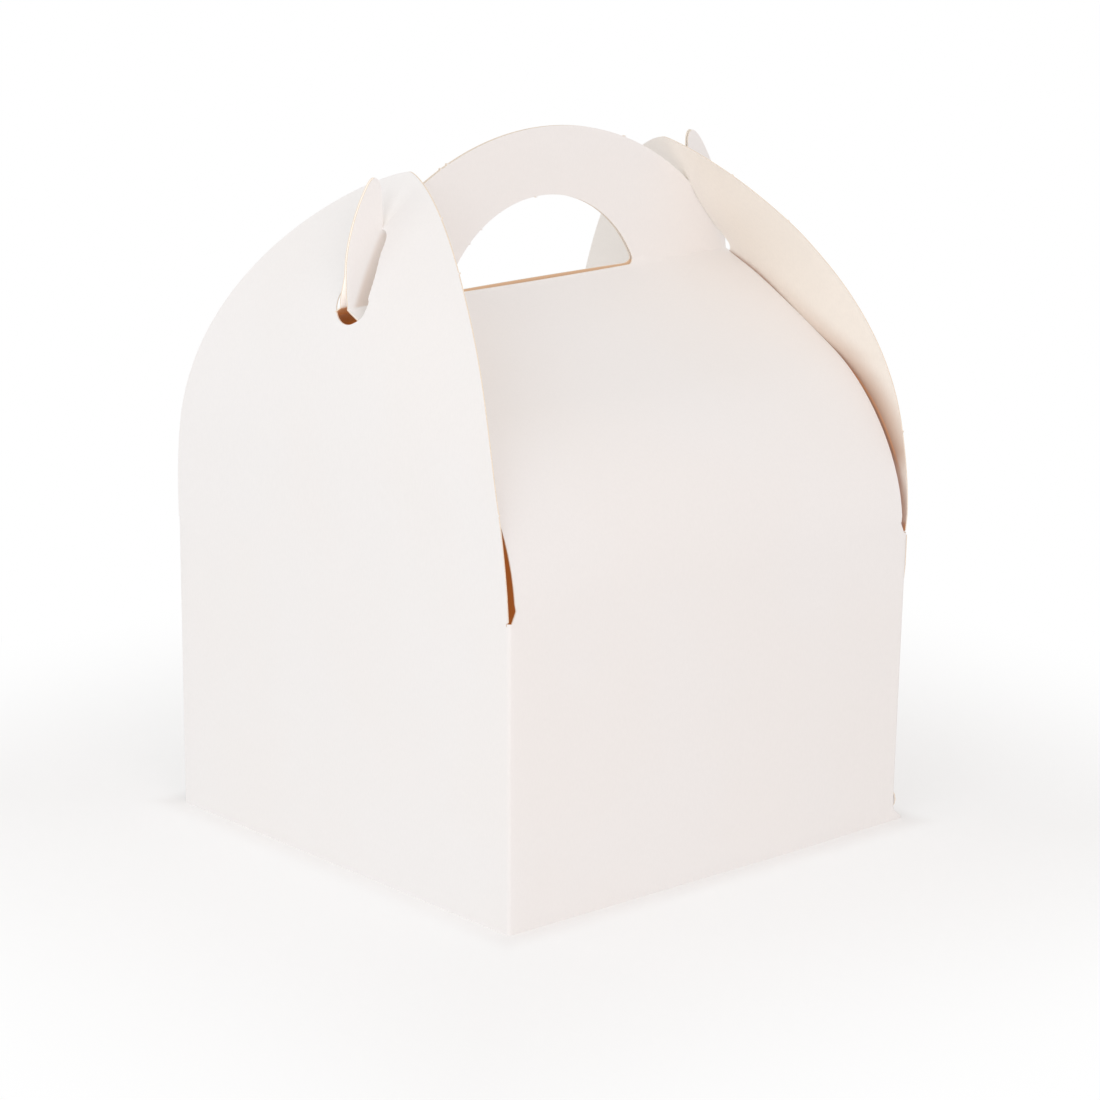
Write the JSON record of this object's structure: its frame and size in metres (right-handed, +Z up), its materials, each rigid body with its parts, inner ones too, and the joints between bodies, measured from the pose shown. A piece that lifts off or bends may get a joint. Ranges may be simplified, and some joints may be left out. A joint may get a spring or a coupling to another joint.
{
  "type": "cardboard handle box",
  "caption": "Square folded white board carton with a curved top, a two-layer carrying handle and side flaps that lock over its hooks.",
  "frame": {"origin": "centre of the base that the box stands on", "axes": "+Z up through the handle, X along the handle from side flap to side flap, -Y towards the front panel"},
  "size_m": [0.201, 0.2, 0.2723],
  "materials": {
    "white_board": "matt, coated white on both faces, cream cut edges"
  },
  "bodies": {
    "carton": {"carton_body": "white_board"},
    "flap_left": {"side_flap_left": "white_board"},
    "flap_right": {"side_flap_right": "white_board"}
  },
  "joints": [
    {"name": "flap_left_fold", "type": "hinge", "parent": "carton", "child": "flap_left", "pos_m": [-0.1, 0, 0.11715], "axis": [0, -1, 0], "range_deg": [0, 140]},
    {"name": "flap_right_fold", "type": "hinge", "parent": "carton", "child": "flap_right", "pos_m": [0.1, 0, 0.11715], "axis": [0, 1, 0], "range_deg": [0, 140]}
  ]
}
